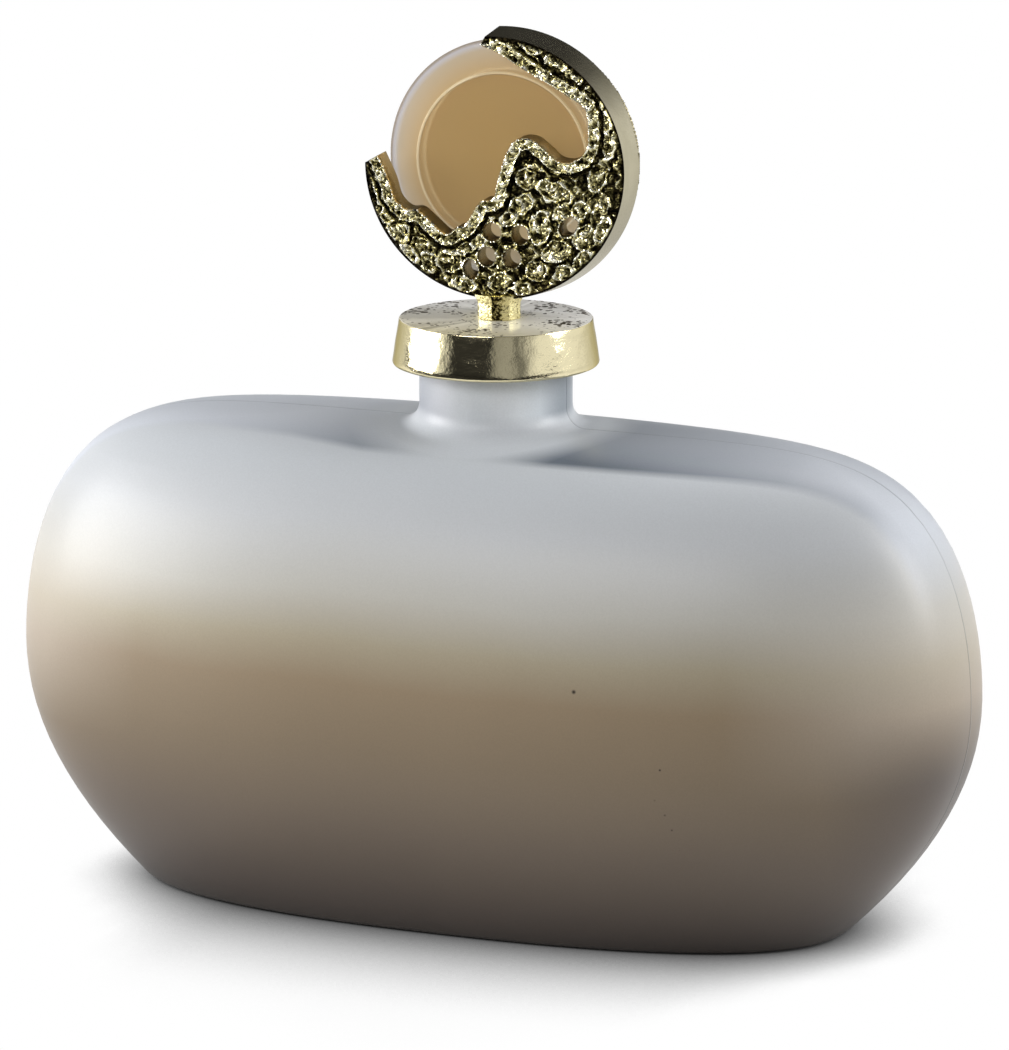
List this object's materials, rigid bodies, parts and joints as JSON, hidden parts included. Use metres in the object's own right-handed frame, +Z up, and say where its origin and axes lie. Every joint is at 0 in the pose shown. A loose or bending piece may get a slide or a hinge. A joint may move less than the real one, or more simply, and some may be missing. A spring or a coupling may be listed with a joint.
{
  "type": "decorative bottle",
  "caption": "Wide flattened satin glass bottle with a short round neck and a lift-out stopper: a metal cap and post that carry a cast crescent round a bevelled disc.",
  "frame": {"origin": "middle of the foot's underside, on the surface that the bottle stands on", "axes": "+X along the bottle's width, to the right seen from its front; +Y from the front to the back; +Z up along the axis of the neck and stopper"},
  "size_m": [0.403, 0.172, 0.3521],
  "materials": {
    "bottle_glass": "satin, clear-frosted at the top, warm brown towards the foot",
    "cap_metal": "pale gold plate, polished and lightly hammered on the side, matte on top",
    "casting_metal": "cast, gold plated, bright on the high parts and dark in the hollows",
    "disc": "translucent tan cast resin, satin",
    "plug_plastic": "moulded, matte",
    "seal_rubber": "clear silicone",
    "screw_steel": "zinc plated"
  },
  "bodies": {
    "bottle": {"glass_bottle": "bottle_glass"},
    "seals": {"upper_seal_ring": "seal_rubber", "lower_seal_ring": "seal_rubber", "cap_pad": "seal_rubber"},
    "stopper": {"stopper_cap": "cap_metal", "stopper_plug": "plug_plastic", "post_screw": "screw_steel", "screw_washer": "screw_steel", "crescent_casting": "casting_metal", "tan_disc": "disc"}
  },
  "joints": [
    {"name": "stopper_lift", "type": "slide", "parent": "bottle", "child": "seals", "axis": [0, 0, 1], "range_m": [0, 0.09]},
    {"name": "stopper_turn", "type": "hinge", "parent": "seals", "child": "stopper", "pos_m": [0, 0, 0.2297], "axis": [0, 0, 1], "continuous": true}
  ]
}
